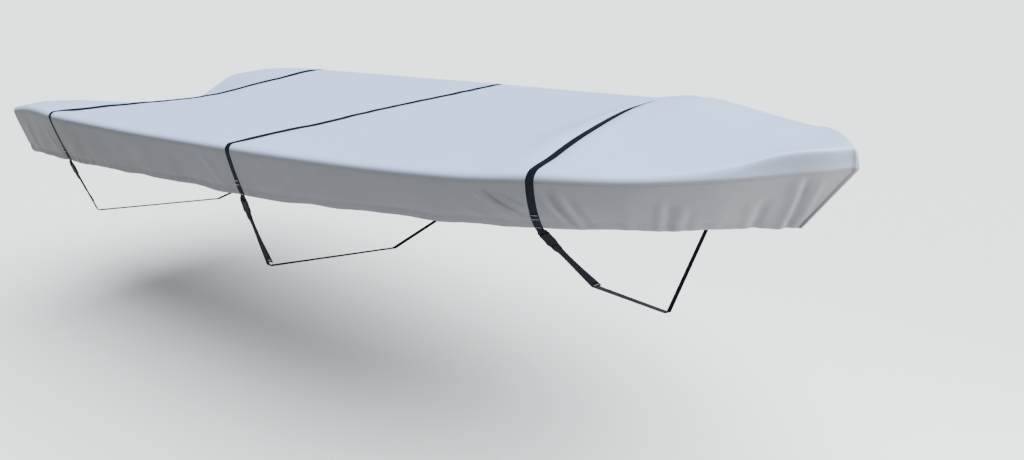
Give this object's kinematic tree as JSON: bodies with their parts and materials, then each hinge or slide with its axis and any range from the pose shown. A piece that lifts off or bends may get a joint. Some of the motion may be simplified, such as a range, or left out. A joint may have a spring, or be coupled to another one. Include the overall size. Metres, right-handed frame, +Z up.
{
  "type": "boat cover",
  "caption": "Fitted cloth cover for an open boat, a top with skirts sewn round it and webbing straps under the hull closed by side-release buckles.",
  "frame": {"origin": "under the middle of the cover's top, where the boat carries it", "axes": "+X to the bow along the cover's length, +Y to port, +Z up. The cover keeps the slight bow-up trim of a boat on its trailer."},
  "size_m": [4.228, 1.7146, 0.9474],
  "materials": {
    "top_cloth": "matt coated woven polyester, light blue-grey",
    "side_cloth": "matt coated woven polyester, mid grey on the hanging sides",
    "webbing": "woven webbing, near black",
    "buckle_plastic": "satin moulded plastic, near black"
  },
  "bodies": {
    "root": {"top_panel": "top_cloth", "starboard_side": "side_cloth", "port_side": "side_cloth", "transom_side": "side_cloth", "stern_strap": "webbing", "stern_buckle_socket": "buckle_plastic", "stern_buckle_ladder": "buckle_plastic", "mid_strap": "webbing", "mid_buckle_socket": "buckle_plastic", "mid_buckle_ladder": "buckle_plastic", "fore_strap": "webbing", "fore_buckle_socket": "buckle_plastic", "fore_buckle_ladder": "buckle_plastic"}
  },
  "joints": []
}
